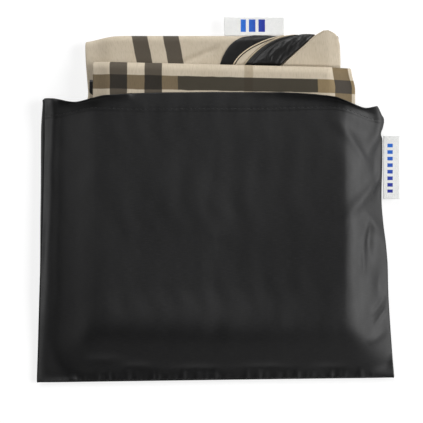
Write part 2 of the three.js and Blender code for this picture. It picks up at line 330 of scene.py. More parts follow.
def checked_cloth():
    """Beige cloth with dark stripes one way, and brown bands the other way, tan between the stripes."""
    n = Nodes("checked_cloth", 0.6, specular=0.2)
    place = n.cloth()
    across, along = n.parts(place)
    wobble = n.spread(n.noise(place, 0.08, 2), -0.5, 0.5)
    across = n.math("WRAP", n.math("ADD", across, wobble), CHECK_START + CHECK_PERIOD - 3, CHECK_START - 3)
    across = n.math("SUBTRACT", across, CHECK_START)
    along = n.math("WRAP", n.math("ADD", along, wobble), BAND[1] + 30, BAND[1] + 30 - CHECK_PERIOD)
    first, second = [n.between(across, low, high) for low, high in STRIPES]
    stripe = n.math("ADD", first, second)
    # painted light: the check's darker colours turn lighter from 60 to 66 mm across, standing in for the
    # right lamp's light and sheen
    painted_light_right = n.ramp(n.parts(place)[0], *PAINTED_LIGHT_RIGHT)
    zone = n.between(across, 0, CHECK_ZONE)
    near, far = [n.between(along, BAND[0] - step, BAND[1] - step) for step in (0, BAND_APART)]
    band = n.math("ADD", near, far)
    cloud = n.noise(place, 0.05, 4)
    ground = n.mix(cloud, linear(178, 165, 144), linear(192, 181, 163))
    faint = n.math("MULTIPLY", n.between(across, *FAINT_STRIPE, 0.7), 0.5)
    ground = n.mix(faint, ground, linear(132, 116, 88))
    ground = n.mix(stripe, ground, n.mix(painted_light_right, linear(77, 70, 60), linear(106, 91, 66)))
    tan = n.mix(painted_light_right, linear(110, 96, 74), linear(128, 111, 82))
    crossing = n.mix(zone, linear(60, 55, 45), tan)
    crossing = n.mix(faint, crossing, linear(52, 44, 33))
    crossing = n.mix(stripe, crossing, n.mix(painted_light_right, linear(40, 36, 30), linear(56, 50, 42)))
    colour = n.mix(band, ground, crossing)
    yarn = n.noise(place, 1.6, 2, (1, 0.15, 1))
    speck = n.math("MULTIPLY", n.ramp(yarn, 0.42, 0.75), 0.14)
    colour = n.mix(speck, colour, linear(60, 54, 45))
    soft = n.bump(n.noise(place, 0.13, 3), 0.7, 0.3)
    return n.dress(colour, n.bump(n.weave(place, 0.55), 0.05, 0.6, soft), n.spread(cloud, 0.54, 0.68))


def piping_tape():
    n = Nodes("piping_tape", 0.42, sheen=0.1)
    place = n.cloth()
    colour = n.mix(n.noise(place, 0.6, 3), linear(176, 160, 133), linear(206, 192, 168))
    rib = n.wave(n.math("ADD", *n.parts(place)), 0.5)
    return n.dress(colour, n.bump(rib, 0.05, 0.5))


def sewing_thread():
    n = Nodes("sewing_thread", 0.5)
    twist = n.spread(n.wave(n.math("ADD", *n.parts(n.cloth())), 0.35), 0.5, 1.0)
    return n.dress(n.mix(twist, linear(7, 7, 8), linear(24, 24, 25)), n.bump(twist, 0.06, 0.6))


LIGHT_BLUE = linear(14, 100, 200)
DARK_BLUE = linear(10, 18, 140)
NECK_MARK = {"run": (17.6, 36.4), "rise": (145.4, 154.2), "pitch": 6.7, "filled": -0.55}
TAG_MARK = {"run": (33.0, 69.2), "rise": (120.6, 124.4), "pitch": 4.6, "filled": -0.2}


def ribbon(name, mark, upright):
    """White woven ribbon with a row of plain bars in blue yarn, which darkens along the row."""
    n = Nodes(name, 0.62, specular=0.3, sheen=0.1)
    place = n.cloth()
    rise, run = n.parts(place) if upright else reversed(n.parts(place))
    (start, end), (low, high) = mark["run"], mark["rise"]
    phase = n.math("SUBTRACT", run, start - mark["pitch"] * 0.05)
    bars = n.ramp(n.wave(phase, mark["pitch"]), mark["filled"] - 0.1, mark["filled"] + 0.1)
    inside = n.math("MULTIPLY", n.between(run, start, end, 0.12), n.between(rise, low, high, 0.15))
    yarn = n.weave(place, 0.36)
    white = n.mix(n.noise(place, 0.4, 3), linear(222, 223, 222), linear(234, 234, 232))
    ends = (end, start) if upright else (start, end)
    blue = n.mix(n.ramp(run, *ends), LIGHT_BLUE, DARK_BLUE)
    blue = n.mix(n.spread(yarn, 0.04, 0.08), blue, linear(120, 150, 210))
    return n.dress(n.mix(n.math("MULTIPLY", bars, inside), white, blue), n.bump(yarn, 0.06, 0.7))


MATERIALS = {}


def make_materials():
    MATERIALS.update(
        satin=pouch_satin(),
        lining=lining_satin(),
        check=checked_cloth(),
        piping=piping_tape(),
        thread=sewing_thread(),
        neck_ribbon=ribbon("neck_ribbon", NECK_MARK, upright=False),
        tag_ribbon=ribbon("tag_ribbon", TAG_MARK, upright=True),
    )


# ------------------------------
# Meshes

def grid_faces(rows, columns, first, flip):
    corner = first + np.arange(rows * columns).reshape(rows, columns)
    around = [corner[:-1, :-1], corner[:-1, 1:], corner[1:, 1:], corner[1:, :-1]]
    faces = np.stack([c.ravel() for c in around], axis=1)
    return faces[:, ::-1] if flip else faces


def build_mesh(name, points, faces, flat, slots, face_slots=None):
    """A piece from points and flat coordinates in millimetres. faces is a list of corner lists."""
    mesh = bpy.data.meshes.new(name)
    mesh.from_pydata((points * MM).tolist(), [], faces)
    layer = mesh.uv_layers.new(name="cloth")
    corners = np.concatenate([np.asarray(face) for face in faces])
    layer.data.foreach_set("uv", (flat[corners] * MM).astype(np.float32).ravel())
    for key in slots:
        mesh.materials.append(MATERIALS[key])
    if face_slots is not None:
        mesh.polygons.foreach_set("material_index", face_slots.astype(np.int32))
    mesh.polygons.foreach_set("use_smooth", np.ones(len(faces), bool))
    mesh.update()
    return add_object(name, mesh)


def shell(name, outer, inner, flat, slots, flip=False):
    """A closed sheet between two grids of points: slots[0] outside, and the last slot inside."""
    rows, columns = outer.shape[:2]
    count = rows * columns
    corner = np.arange(count).reshape(rows, columns)
    rim = np.concatenate([corner[0], corner[1:, -1], corner[-1, -2::-1], corner[-2:0:-1, 0]])
    after = np.roll(rim, -1)
    sides = np.stack([rim, rim + count, after + count, after], axis=1)
    outside = grid_faces(rows, columns, 0, flip)
    inside = grid_faces(rows, columns, count, not flip)
    faces = np.concatenate([outside, inside, sides[:, ::-1] if flip else sides])
    points = np.concatenate([outer.reshape(-1, 3), inner.reshape(-1, 3)])
    flats = np.concatenate([flat.reshape(-1, 2)] * 2)
    face_slots = np.zeros(len(faces))
    face_slots[len(outside):len(outside) + len(inside)] = len(slots) - 1
    return build_mesh(name, points, faces.tolist(), flats, slots, face_slots)


def unit(vectors):
    return vectors / np.maximum(np.linalg.norm(vectors, axis=-1, keepdims=True), 1e-9)


def normals_of(grid):
    return unit(np.cross(np.gradient(grid, axis=1), np.gradient(grid, axis=0)))


def resample(grid, at, axis=0):
    """A smooth curve through the grid along an axis, read at fractional places."""
    grid = np.moveaxis(grid, axis, 0)
    last = len(grid) - 1
    i = np.clip(np.floor(at).astype(int), 0, last - 1)
    t = (at - i).reshape((-1,) + (1,) * (grid.ndim - 1))
    p1, p2 = grid[i], grid[i + 1]
    p0 = np.where((i > 0).reshape(t.shape), grid[np.maximum(i - 1, 0)], 2 * p1 - p2)
    p3 = np.where((i < last - 1).reshape(t.shape), grid[np.minimum(i + 2, last)], 2 * p2 - p1)
    bend = (2 * p0 - 5 * p1 + 4 * p2 - p3) * t**2 + (3 * p1 - p0 - 3 * p2 + p3) * t**3
    return np.moveaxis(p1 + ((p2 - p0) * t + bend) / 2, 0, axis)


def finish_piece(piece, body, slot, *nodes):
    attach(piece, body)
    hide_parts(*nodes)


# ------------------------------
# The pouch's outline as it lies

LIP = np.array([
    (-119.8, 99.7), (-113.5, 99.6), (-104, 96.6), (-95.5, 94.8), (-88, 97.0), (-78, 99.3), (-60, 100.9),
    (-38, 101.8), (0, 102.2), (45, 101.8), (68, 100.5), (83, 98.2), (95, 93.6), (103, 90.6), (112.5, 93.0),
])
FLAT_WIDTH = 2 * POUCH_HALF
FRONT_LENGTH = 206.0
BACK_LENGTH = 199.0
SIDE_EASE = 9.0  # how much less the front's cloth measures along its seams
WIDTH_EASE = 1.5  # the front's fullness across
LIP_OVER_BACK = 2.0  # the front's lip lies this much further out than the back's


def left_edge(y):
    return -119.8 - 5.6 * np.clip((99 - y) / 197, 0, 1) ** 1.5


def right_edge(y):
    straight = 116.6 + 9.0 * np.clip((99 - y) / 197, 0, 1) ** 2.0
    drawn_in = 1.6 * bump_at(y, 26, 22) - 0.9 * bump_at(y, -14, 18)
    corner = 4.2 * smooth((y - 84) / 9) - 1.0 * bump_at(y, 83, 5) + 1.2 * bump_at(y, 74.5, 2.5)
    return straight - drawn_in - corner


def bottom_edge(x):
    return SEAM_Y - 0.4 + 0.014 * x


def lip_edge(x):
    return np.interp(x, LIP[:, 0], LIP[:, 1])


def seam_height(y, left):
    """How high the stiff side seams stand off the table."""
    if left:
        return 3.2 + 3.4 * smooth((y + 90) / 60) + 3.0 * smooth((y - 70) / 30)
    return 3.2 + 0.6 * smooth((y + 90) / 60) + 1.5 * bump_at(y, 86, 11)


# ------------------------------
# A cloth simulation: two grids of threads that share their seams and settle over the folded wrap

STIFFNESS = {"thread": 1.0, "shear": 0.35, "bend": 0.3}
GRAVITY = 0.02  # mm for each step squared
DAMPING = 0.92
CLOTH_HEIGHT = FRONT_HIGH[2] + 1.2  # the cloth's lower face over the wrap's edges
CLOSED_HEIGHT = 2.4  # how high the closed edge lies
PANEL_GAP = 1.6  # between the two panels, away from the seams
BACK_UNDER_WRAP = REAR_LOW[2] - 0.5
BACK_LOWEST = 0.45

# The share of the way to its place that each edge is drawn in one sweep
SEAM_DRAW = 0.5
SEAM_LIFT = 0.1
CLOSED_LIFT = 0.2
LIP_DRAW = 0.25

# The slopes that the cloth comes down in, round the wrap: where each starts, and its steepness.
# The right one's steepness follows from its seam's height.
RIGHT_RIDGE_X = 94
RIGHT_RIDGE_DIP = (6, 76, 14)  # how far in the ridge goes near the mouth, at which y, and over what reach
LEFT_SLOPE = (-83, 0.69)
END_SLOPE = (-62, 0.6)

# The wrap and the cloth on it lie lower in the middle
MIDDLE_SAG = 3.2
SAG_MIDDLE_X = 3
SAG_HALF_WIDTH = 86
SAG_AT_MOUTH = 0.3  # the share of it that is left at the mouth
COARSE_GRID = (43, 51)
STAGES = ((1, 160), (2, 120), (2, 60))  # how much finer each grid is, and its steps
SWEEPS = 4
SEAM_EDGES = ((slice(None), 0), (slice(None), -1), (0, slice(None)))


def thread_links():
    """Pairs of slices of a grid whose vertices are linked, with no vertex twice in one pair."""
    every = slice(None)
    links = []
    for step, kind in ((1, "thread"), (2, "bend"), (4, "bend")):
        for start in range(2 * step):
            a, b = slice(start, None, 2 * step), slice(start + step, None, 2 * step)
            links += [((every, a), (every, b), kind), ((a, every), (b, every), kind)]
    for start in (0, 1):
        a, b = slice(start, None, 2), slice(start + 1, None, 2)
        links.append(((a, slice(None, -1)), (b, slice(1, None)), "shear"))
        links.append(((a, slice(1, None)), (b, slice(None, -1)), "shear"))
    return links


LINKS = thread_links()


def linked(grid, a, b):
    first, second = grid[a], grid[b]
    rows, columns = min(len(first), len(second)), min(first.shape[1], second.shape[1])
    return first[:rows, :columns], second[:rows, :columns]


def flat_lengths(rows, columns, width, length, ease):
    """The linked vertices' distances in flat cloth, which is shorter by ease along its side seams."""
    across, share = np.meshgrid(np.linspace(0, width, columns), np.linspace(0, 1, rows))
    at_side = 1 - smooth(np.minimum(across, width - across) / 45)
    flat = points_of(across, share * (length - ease * at_side))
    return [np.linalg.norm(np.subtract(*linked(flat, a, b)), axis=-1, keepdims=True) for a, b, _ in LINKS]


def hold_lengths(grid, lengths):
    for (a, b, kind), rest in zip(LINKS, lengths):
        first, second = linked(grid, a, b)
        apart = second - first
        length = np.maximum(np.linalg.norm(apart, axis=-1, keepdims=True), 1e-6)
        error = length - rest
        if kind == "bend":
            error = np.minimum(error, 0)
        move = apart * (0.5 * STIFFNESS[kind] * error / length)
        first += move
        second -= move


def middle_sag(x, y):
    across = np.clip(1 - ((x - SAG_MIDDLE_X) / SAG_HALF_WIDTH) ** 2, 0, 1) ** 0.8
    towards_mouth = 1 - (1 - SAG_AT_MOUTH) * smooth((y - 40) / 75)
    return MIDDLE_SAG * across * smooth((y + 72) / 40) * towards_mouth


def past(distance, rounding):
    """A distance past a ridge: 0 before it, with a round start."""
    return rounding * np.logaddexp(0, distance / rounding)


def support_height(x, y):
    """What the folded wrap holds the cloth up to: it slopes to the seams on three sides."""
    dip, dip_y, reach = RIGHT_RIDGE_DIP
    ridge = RIGHT_RIDGE_X - dip * bump_at(y, dip_y, reach)
    steepness = (CLOTH_HEIGHT - seam_height(y, False)) / (right_edge(y) - ridge)
    right = steepness * past(x - ridge, 3.5)
    left = LEFT_SLOPE[1] * past(LEFT_SLOPE[0] - x, 3)
    end = END_SLOPE[1] * past(END_SLOPE[0] - y, 4)
    return CLOTH_HEIGHT - (left**3 + right**3 + end**3) ** (1 / 3)


def guide_edges(front, back):
    """Draws the seams and the lip towards where they lie."""
    for panel in (front, back):
        for column, edge, left in ((0, left_edge, True), (-1, right_edge, False)):
            line = panel[:, column]
            line[:, 0] += SEAM_DRAW * (edge(line[:, 1]) - line[:, 0])
            line[:, 2] += SEAM_LIFT * (seam_height(line[:, 1], left) - line[:, 2])
        closed, lip = panel[0], panel[-1]
        closed[:, 1] += SEAM_DRAW * (bottom_edge(closed[:, 0]) - closed[:, 1])
        closed[:, 2] += CLOSED_LIFT * (CLOSED_HEIGHT - closed[:, 2])
        target = lip_edge(lip[:, 0]) - (LIP_OVER_BACK if panel is back else 0)
        lip[:, 1] += LIP_DRAW * (target - lip[:, 1])


def seam_distance(across, along):
    """How far each place on the flat cloth is from the nearest seam, in millimetres."""
    u, v = np.meshgrid(across, along)
    return np.minimum(np.minimum(u, FLAT_WIDTH - u), v)


def keep_apart(front, back, gap):
    under_wrap = (back[..., 0] > REAR_LOW[0] - 2) & (back[..., 0] < FRONT_HIGH[0] + 2)
    under_wrap &= back[..., 1] > FRONT_LOW[1] - 12
    back[..., 2] = np.where(under_wrap, np.minimum(back[..., 2], BACK_UNDER_WRAP), back[..., 2])
    back[..., 2] = np.maximum(back[..., 2], BACK_LOWEST)
    floor = np.maximum(back[..., 2] + gap, support_height(front[..., 0], front[..., 1]))
    front[..., 2] = np.maximum(front[..., 2], floor)


def simulate(front, back, steps):
    rows, columns = front.shape[:2]
    lengths = [
        flat_lengths(rows, columns, FLAT_WIDTH + WIDTH_EASE, FRONT_LENGTH, SIDE_EASE),
        flat_lengths(rows, columns, FLAT_WIDTH, BACK_LENGTH, 0),
    ]
    across, along = np.linspace(0, FLAT_WIDTH, columns), np.linspace(0, FRONT_LENGTH, rows)
    gap = PANEL_GAP * smooth(seam_distance(across, along) / 8)
    panels = (front, back)
    before = [panel.copy() for panel in panels]
    for _ in range(steps):
        for k, panel in enumerate(panels):
            speed = DAMPING * (panel - before[k])
            before[k] = panel.copy()
            panel += np.clip(speed, -1, 1)
            panel[..., 2] -= GRAVITY
        for _ in range(SWEEPS):
            hold_lengths(front, lengths[0])
            hold_lengths(back, lengths[1])
            for edge in SEAM_EDGES:
                joined = (front[edge] + back[edge]) / 2
                front[edge] = joined
                back[edge] = joined
            guide_edges(front, back)
            keep_apart(front, back, gap)


def start_shape(rows, columns, back):
    """A panel before it settles, laid roughly over the wrap or under it."""
    v, u = np.meshgrid(np.linspace(0, 1, rows), np.linspace(0, 1, columns), indexing="ij")
    y = SEAM_Y + (MOUTH_Y + 3 - SEAM_Y) * v
    x = left_edge(y) + (right_edge(y) - left_edge(y)) * u
    y = bottom_edge(x) + (lip_edge(x) - bottom_edge(x)) * v
    over_wrap = np.minimum(smooth((x + 119) / 32), smooth((117 - x) / 20)) * smooth((y + 90) / 18)
    z = np.full_like(x, 1.0) if back else 3 + (FRONT_HIGH[2] - 1) * over_wrap
    return points_of(x, y, z)


def soften(grid, times):
    for _ in range(times):
        inner = grid[1:-1, 1:-1]
        around = grid[:-2, 1:-1] + grid[2:, 1:-1] + grid[1:-1, :-2] + grid[1:-1, 2:]
        inner += 0.5 * (around / 4 - inner)


def settled_panels():
    """The lower faces of the front and back panels, as grids from the closed edge to the mouth."""
    rows, columns = COARSE_GRID
    front, back = start_shape(rows, columns, False), start_shape(rows, columns, True)
    for finer, steps in STAGES:
        rows, columns = finer * (rows - 1) + 1, finer * (columns - 1) + 1
        at_rows, at_columns = np.arange(rows) / finer, np.arange(columns) / finer
        front, back = [resample(resample(g, at_rows), at_columns, 1) for g in (front, back)]
        simulate(front, back, steps)
    soften(front, 22)
    soften(back, 8)
    front[..., 2] -= middle_sag(front[..., 0], front[..., 1])
    return front, back


# ------------------------------
# The pouch's pieces

CLOTH_PLY = 0.35
HEM_EXTRA = 0.25  # the hem is the same cloth turned over
HEM_ROW = HEM_DEPTH - 1.5  # the hem's stitches, from the lip
CLOSED_ROW = 1.3  # the closed edge's stitches


def finer_at_ends(length, first, last, counts):
    """Places from 0 to length: one spacing up to first, one in the middle, and one from last to the end."""
    stops = (0, first, length - last, length)
    runs = [np.linspace(low, high, count) for low, high, count in zip(stops, stops[1:], counts)]
    return np.concatenate([runs[0][:-1], runs[1][:-1], runs[2]])


# The fine cloth's places along, from the closed edge, and across
ROWS = finer_at_ends(FRONT_LENGTH, 14, 16, (36, 130, 38))
COLUMNS = finer_at_ends(FLAT_WIDTH, 12, 12, (16, 190, 16))

# Creases in the front cloth: where each one starts and ends, its width and its height
CREASES = (
    ((107, 16), (101.8, -6), 1.5, 0.7),
    ((102.6, 2), (102.6, -26), 1.5, 0.6),
    ((110, -60), (121, -46), 1.8, -0.9),
    ((108, -53), (119, -39), 2.0, 0.8),
    ((106, -72), (120, -62), 3.0, 0.9),
)

# Shallow dents in the front cloth: the middle, the half widths across and along, and the depth
DENTS = (
    ((107.0, -1), (3.2, 11), 1.9),
    ((114.0, -31), (3.6, 9), 1.2),
    ((112.5, 46), (3.4, 17), 0.9),
    ((-97, 20), (5, 70), 0.5),
    ((-78, -84), (13, 3.6), 0.7),
    ((-56, -89), (11, 3.4), 0.9),
    ((-14, -90.5), (15, 3.2), 0.9),
    ((35, -89.5), (17, 3.2), 0.9),
    ((80, -90), (12, 3.6), 1.0),
)


def crease_height(x, y):
    total = np.zeros_like(x)
    for (x0, y0), (x1, y1), width, height in CREASES:
        run = np.array([x1 - x0, y1 - y0])
        share = ((x - x0) * run[0] + (y - y0) * run[1]) / (run @ run)
        nearest = np.clip(share, 0, 1)
        off = np.hypot(x - x0 - nearest * run[0], y - y0 - nearest * run[1])
        taper = np.sin(math.pi * np.clip(share, 0.001, 0.999)) ** 0.8
        total += height * taper * np.exp(-((off / width) ** 2))
    for (x0, y0), (across, along), depth in DENTS:
        total -= depth * bump_at(x, x0, across) * bump_at(y, y0, along)
    return total


PUCKER_SEED = 7
PUCKER_COUNT = 62


def draw_puckers():
    """Each pucker's place along the closed edge, width, height and length."""
    chance = np.random.default_rng(PUCKER_SEED)
    place = np.linspace(-121, 119, PUCKER_COUNT) + chance.uniform(-2.6, 2.6, PUCKER_COUNT)
    width = chance.uniform(0.8, 1.9, PUCKER_COUNT)
    lower_at_corners = smooth((112 - abs(place)) / 12 + 0.3)
    height = chance.uniform(0.15, 1.0, PUCKER_COUNT) ** 1.4 * 1.2 * lower_at_corners
    return zip(place, width, height, 2.5 + 6.5 * height)


PUCKERS = tuple(draw_puckers())


def pucker_height(x, along):
    """Small gathers that the closed edge's stitches draw in the cloth."""
    total = np.zeros_like(x)
    for place, width, height, length in PUCKERS:
        total += height * bump_at(x, place, width) * (1 - smooth((along - 1.5) / length))
    return total * smooth(along / 2.0)


def soft_waves(x, y):
    """The cloth's shallow unevenness over the wrap."""
    upright = ripple(x, y, 31, 86) + 0.7 * ripple(x + 40, y, 17, 94)
    slanting = 0.6 * ripple(x, y, 23, 63)
    return 0.16 * (upright + slanting) * smooth((y + 80) / 20)


def hem_height(from_lip, x):
    doubled = HEM_EXTRA * (1 - smooth((from_lip - HEM_DEPTH + 0.8) / 1.6))
    groove = 0.14 * bump_at(from_lip, HEM_ROW, 1.3)
    gathers = 0.04 * np.sin(TURN * x / 5.1 + 1.5 * np.sin(x / 17)) * bump_at(from_lip, HEM_ROW, 4)
    rounded = 0.3 * (1 - np.clip(from_lip / 0.7, 0, 1)) ** 2
    return doubled - groove + gathers - rounded


def fine_grid(grid, across, along):
    """The settled cloth at flat coordinates in millimetres."""
    rows, columns = grid.shape[:2]
    lengthwise = resample(grid, along / FRONT_LENGTH * (rows - 1))
    return resample(lengthwise, across / FLAT_WIDTH * (columns - 1), 1)


def front_faces(grid):
    """The front panel's lower and upper faces, with its creases, gathers and hem."""
    face = fine_grid(grid, COLUMNS, ROWS)
    x, y = face[..., 0], face[..., 1]
    along = np.broadcast_to(ROWS[:, None], x.shape)
    off_seam = smooth(seam_distance(COLUMNS, ROWS) / 4)
    shift = off_seam * (crease_height(x, y) + soft_waves(x, y)) + pucker_height(x, along)
    lower = face + normals_of(face) * shift[..., None]
    ply = CLOTH_PLY + hem_height(FRONT_LENGTH - along, x)
    return lower, lower + normals_of(lower) * ply[..., None]


def back_faces(grid):
    """The back panel's upper and lower faces. Its hem is turned up on the inside."""
    face = fine_grid(grid, COLUMNS, ROWS)
    along = np.broadcast_to(ROWS[:, None], face.shape[:2])
    up = normals_of(face)
    hem = np.maximum(hem_height(FRONT_LENGTH - along, face[..., 0]), 0)
    return face + up * hem[..., None], face - up * CLOTH_PLY


def make_panels(front, back):
    flat = points_of(*np.meshgrid(COLUMNS, ROWS))
    lower, upper = front_faces(front)
    piece = shell("pouch_front_cloth", upper, lower, flat, ["satin"])
    finish_piece(piece, "pouch", "pouch_cloth", "pouch_front_panel", "front_mouth_hem")
    top, under = back_faces(back)
    piece = shell("pouch_back_cloth", under, top, flat, ["satin"], flip=True)
    finish_piece(piece, "pouch", "pouch_cloth", "pouch_back_panel", "back_mouth_hem")
    return upper


def between_panels(name, front, back, across, along, share, ply, slots):
    """A strip of cloth inside the pouch, at a share of the way up from the back panel to the front one."""
    low, high = fine_grid(back, across, along), fine_grid(front, across, along)
    middle = low + share * (high - low)
    room = np.linalg.norm(high - low, axis=-1)
    half = np.minimum(ply / 2, 0.16 * room)[..., None]
    up = normals_of(middle)
    flat = points_of(*np.meshgrid(across, along))
    return shell(name, middle + half * up, middle - half * up, flat, slots)


ALLOWANCE = 8.0
ALLOWANCE_PLY = 0.5


def make_allowances(front, back):
    """The seam allowances, turned in between the two panels."""
    inwards = np.linspace(0.8, ALLOWANCE, 8)
    side_run = np.linspace(ALLOWANCE + 1, 194, 90)
    strips = (
        ("left_allowance", inwards, side_run, "left_side_seam", (0.0072, 0.185)),
        ("right_allowance", FLAT_WIDTH - inwards[::-1], side_run, "right_side_seam", (0.0072, 0.185)),
        ("closed_allowance", np.linspace(2, FLAT_WIDTH - 2, 110), inwards, "bottom_seam", (0.246, 0.0072)),
    )
    for name, across, along, node, size in strips:
        piece = between_panels(name, front, back, across, along, 0.3, ALLOWANCE_PLY, ["satin"])
        finish_piece(piece, "pouch", "pouch_cloth", node)


def rows_where(grid_edge_y, low, high, count):
    """Flat places along a seam from the frame's y low to y high."""
    along = np.linspace(0, FRONT_LENGTH, len(grid_edge_y))
    return np.linspace(np.interp(low, grid_edge_y, along), np.interp(high, grid_edge_y, along), count)


def make_tag_tail(front, back):
    along = rows_where(front[:, -1, 1], TAIL_LOW[1], TAIL_HIGH[1], 30)
    across = FLAT_WIDTH - np.linspace(0.8, 5.0, 6)[::-1]
    piece = between_panels("side_tag_tail_ribbon", front, back, across, along, 0.72, 0.5, ["tag_ribbon"])
    finish_piece(piece, "pouch", "label_ribbon", "side_tag_tail")


STITCH_PITCH = 3.1
STITCH_LENGTH = 2.3
STITCH_RADIUS = 0.2
STITCH_SHARES = np.linspace(-0.5, 0.5, 6)


def read_along(vectors, run, at):
    """The vectors given at the places run, read at the places at."""
    return points_of(*[np.interp(at, run, vectors[:, k]) for k in range(3)])


def stitch_row(name, path, normals):
    """A row of stitches along a path on the cloth. Each one dips in at its ends."""
    steps = np.linalg.norm(np.diff(path, axis=0), axis=1)
    run = np.concatenate([[0], np.cumsum(steps)])
    places = np.arange(STITCH_PITCH, run[-1] - STITCH_PITCH, STITCH_PITCH)
    at = places[:, None] + STITCH_LENGTH * STITCH_SHARES
    up = unit(read_along(normals, run, at))
    thick = np.sqrt(1 - (1.9 * STITCH_SHARES) ** 2)[None, :, None]
    centre = read_along(path, run, at) + up * STITCH_RADIUS * (1.1 * thick - 0.6)
    forward = unit(np.gradient(centre, axis=1))
    sideways = unit(np.cross(forward, up))
    angles = np.linspace(0, TURN, 8, endpoint=False)
    ring = [np.cos(a) * sideways + np.sin(a) * np.cross(sideways, forward) for a in angles]
    points = centre[:, :, None] + STITCH_RADIUS * thick[:, :, None] * np.stack(ring, axis=2)
    rings = np.arange(at.size * len(angles)).reshape(*at.shape, len(angles)).tolist()
    faces = []
    for stitch in rings:
        faces += [stitch[0][::-1], stitch[-1]]
        for low, high in zip(stitch, stitch[1:]):
            faces += [[low[k - 1], low[k], high[k], high[k - 1]] for k in range(len(angles))]
    along = np.broadcast_to(at[:, :, None], points.shape[:3])
    turn = np.broadcast_to(angles * STITCH_RADIUS, points.shape[:3])
    flat = np.stack([along.reshape(-1), turn.reshape(-1)], axis=1)
    return build_mesh(name, points.reshape(-1, 3), faces, flat, ["thread"])


def make_stitches(upper):
    normals = normals_of(upper)
    inside = (COLUMNS > 3) & (COLUMNS < FLAT_WIDTH - 3)
    rows = (("hem_stitches", FRONT_LENGTH - HEM_ROW, "front_hem_thread"),
            ("closed_edge_stitches", CLOSED_ROW, "bottom_seam_thread"))
    for name, along, node in rows:
        row = np.interp([along], ROWS, np.arange(len(ROWS)))
        path, up = [resample(grid, row)[0][inside] for grid in (upper, normals)]
        piece = stitch_row(name, path, up)
        finish_piece(piece, "pouch", "pouch_thread", node)


def make_pouch():
    front, back = settled_panels()
    upper = make_panels(front, back)
    make_allowances(front, back)
    make_tag_tail(front, back)
    make_stitches(upper)


# ------------------------------
# The wrap: layers turned over at their upper edges, all bent and sunk together

END_SINK = 4.2  # how far the stack's soft ends sink
LOWER_SINK = 1.8  # and how many times as far at its lower end, over a longer run
LOWER_RUN = 20.0
RIGHT_SINK = 1.7  # and how many times as far at the right
RIGHT_RUN = 20.0
END_RUN = 13.0
FRONT_TOP = ((-73, 2.0), (83, -1.7))  # x, and how far up the front fold's upper edge is moved there
REAR_SQUEEZE = 1.1  # flat cloth for each millimetre of the rear fold, which lies a little gathered
REAR_LEAN = 0.2
REAR_PLY = 1.9
FRONT_PLY = 2.1


def front_top(x):
    """How far up the front fold's upper edge lies."""
    (x0, y0), (x1, y1) = FRONT_TOP
    return FRONT_HIGH[1] + y0 + (y1 - y0) * (x - x0) / (x1 - x0)


def settle_wrap(points, is_front):
    """Where a point of the squarely folded wrap comes to lie. Its layers bend together, so none cross."""
    x, y, z = np.moveaxis(points, -1, 0)
    share = z / FRONT_HIGH[2]
    outside = smooth((y - 88) / 18)
    right_end = RIGHT_SINK * smooth((x - FRONT_HIGH[0] + RIGHT_RUN) / RIGHT_RUN)
    ends = np.maximum(smooth((FRONT_LOW[0] + END_RUN - x) / END_RUN), right_end)
    ends = np.maximum(ends, LOWER_SINK * smooth((FRONT_LOW[1] + LOWER_RUN - y) / LOWER_RUN))
    waves = 0.3 * ripple(x, y, 46, 78) + 0.2 * ripple(x, y, 29, 12)
    sunk = z - share * (END_SINK * ends + 0.95 * middle_sag(x, y) - outside * waves)
    if is_front:
        moved_y = y + (front_top(x) - FRONT_HIGH[1]) * smooth((y - 70) / 45)
        moved_x = x - 2.6 * smooth((y - 106) / 14) * smooth((x - 60) / 37)
    else:
        moved_y = y - 4.4 * smooth((-58 - x) / 36) ** 2 * smooth((y - 80) / 50)
        moved_x = x + 2.2 * smooth((139 - y) / 42) * smooth((-60 - x) / 30) * outside
        crease = np.abs((y - 124) * 0.923 - (x + 22) * 0.385)
        sunk = sunk - 1.6 * bump_at(crease, 0, 1.7) * smooth((x + 30) / 8) * smooth((4 - x) / 8) * (z > 8)
    return points_of(moved_x, moved_y, sunk)


ROUNDED_PLACES = np.array([0, 0.08, 0.3, 0.62, 1.0])  # where a rounded edge's points lie, as shares of it


def closer_at_ends(low, high, count, edge):
    """Places from low to high that crowd together within edge of each end."""
    near = edge * ROUNDED_PLACES
    middle = np.linspace(low + edge, high - edge, count)
    return np.concatenate([low + near[:-1], middle, high - near[-2::-1]])


def rounded_edge(distance, radius, least=0.0025):
    """The share of a sheet's thickness at a distance from its round edge."""
    return np.sqrt(np.clip(1 - np.clip(1 - distance / radius, 0, 1) ** 2, least, 1))


def turned_sheet(across, start, top, low_z, high_z, ply, count):
    """A sheet turned over at top: its outer and inner faces as (across, along, z), and flat places."""
    radius = (high_z - low_z - ply) / 2
    turn = top - (high_z - low_z) / 2
    middle = (low_z + high_z) / 2
    near = start + ply / 2 * ROUNDED_PLACES
    straight = np.concatenate([near, np.linspace(start + 0.8 * ply, turn, count)])
    level = straight * 0
    angle = np.linspace(0, math.pi, 15)[1:-1]
    along = np.concatenate([straight, turn + radius * np.sin(angle), straight[::-1]])
    z = np.concatenate([level + radius, radius * np.cos(angle), level - radius]) + middle
    out_y = np.concatenate([level, np.sin(angle), level])
    out_z = np.concatenate([level + 1, np.cos(angle), level - 1])
    flat = np.concatenate([straight, turn + radius * angle, 2 * turn + radius * math.pi - straight[::-1]])
    from_end = np.minimum(along - start, 9)
    from_end[len(straight):-len(straight)] = 9
    from_side = np.minimum(across - across[0], across[-1] - across)
    half = ply / 2 * rounded_edge(from_end, ply / 2)[:, None] * rounded_edge(from_side, ply / 2)[None, :]
    outer, inner = [points_of(
        np.broadcast_to(across, half.shape),
        along[:, None] + out_y[:, None] * offset,
        z[:, None] + out_z[:, None] * offset,
    ) for offset in (half, -half)]
    return outer, inner, points_of(*np.meshgrid(across, flat))


